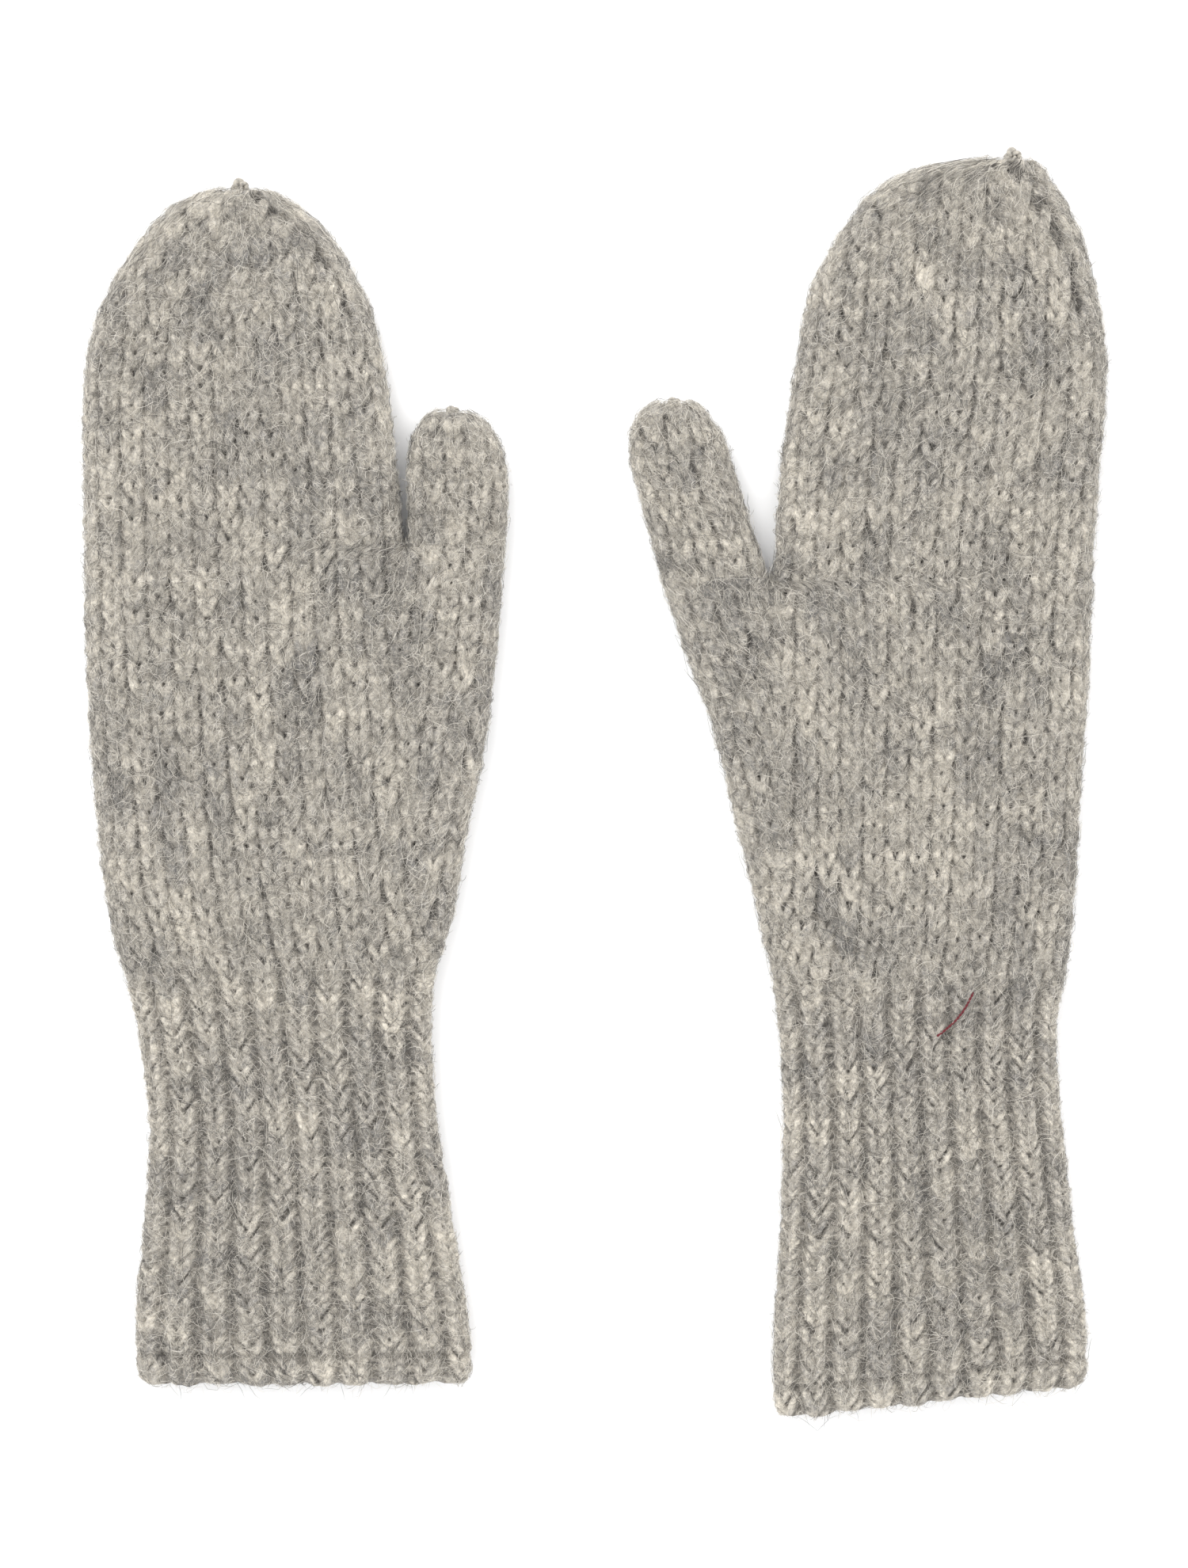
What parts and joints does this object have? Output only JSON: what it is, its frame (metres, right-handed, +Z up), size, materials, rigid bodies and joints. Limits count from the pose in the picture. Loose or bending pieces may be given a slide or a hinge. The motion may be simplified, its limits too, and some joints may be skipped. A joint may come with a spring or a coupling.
{
  "type": "pair of knitted mittens",
  "caption": "Pair of long-cuffed hand-knitted wool mittens lying flat, with stockinette hands, ribbed cuffs and knitted thumbs that fold and swing.",
  "frame": {"origin": "Under the middle of the pair's bounding box, on the plane it lies on", "axes": "+X from the left mitten to the right one, +Y towards the fingertips, +Z up through the backs of the hands"},
  "size_m": [0.2976, 0.3706, 0.0162],
  "materials": {
    "stockinette_wool": "brushed wool knit",
    "rib_wool": "ribbed wool knit",
    "yarn_knot": "wool yarn",
    "sewing_thread": "twisted cotton thread"
  },
  "bodies": {
    "left_hand_body": {"left_hand": "stockinette_wool"},
    "left_fingers_body": {"left_fingers": "stockinette_wool", "left_tip": "stockinette_wool", "left_tip_knot": "yarn_knot"},
    "left_thumb_body": {"left_thumb_join": "yarn_knot", "left_thumb": "stockinette_wool", "left_thumb_knot": "yarn_knot"},
    "left_cuff_body": {"left_cuff": "rib_wool", "left_hem": "rib_wool"},
    "right_hand_body": {"right_hand": "stockinette_wool"},
    "right_fingers_body": {"right_fingers": "stockinette_wool", "right_tip": "stockinette_wool", "right_tip_knot": "yarn_knot"},
    "right_thumb_body": {"right_thumb_join": "yarn_knot", "right_thumb": "stockinette_wool", "right_thumb_knot": "yarn_knot"},
    "right_cuff_body": {"right_cuff": "rib_wool", "right_hem": "rib_wool", "tack_thread": "sewing_thread"}
  },
  "joints": [
    {"name": "left_knuckles", "type": "hinge", "parent": "left_hand_body", "child": "left_fingers_body", "pos_m": [-0.09145, 0.06872, 0.0163], "axis": [1, 0, 0], "range_deg": [0, 100]},
    {"name": "left_thumb_swing", "type": "hinge", "parent": "left_hand_body", "child": "left_thumb_body", "pos_m": [-0.02566, 0.06872, 0.008], "axis": [0, 0, -1], "range_deg": [0, 35]},
    {"name": "left_wrist_fold", "type": "hinge", "parent": "left_hand_body", "child": "left_cuff_body", "pos_m": [-0.09145, -0.05528, 0.0163], "axis": [-1, 0, 0], "range_deg": [0, 100]},
    {"name": "right_apart", "type": "slide", "parent": "left_hand_body", "child": "right_hand_body", "axis": [1, 0, 0], "range_m": [0, 0.2]},
    {"name": "right_knuckles", "type": "hinge", "parent": "right_hand_body", "child": "right_fingers_body", "pos_m": [0.09405, 0.05922, 0.0163], "axis": [1, 0, 0], "range_deg": [0, 100]},
    {"name": "right_thumb_swing", "type": "hinge", "parent": "right_hand_body", "child": "right_thumb_body", "pos_m": [0.01884, 0.05922, 0.008], "axis": [0, 0, 1], "range_deg": [0, 35]},
    {"name": "right_wrist_fold", "type": "hinge", "parent": "right_hand_body", "child": "right_cuff_body", "pos_m": [0.09405, -0.05828, 0.0163], "axis": [-1, 0, 0], "range_deg": [0, 100]}
  ]
}
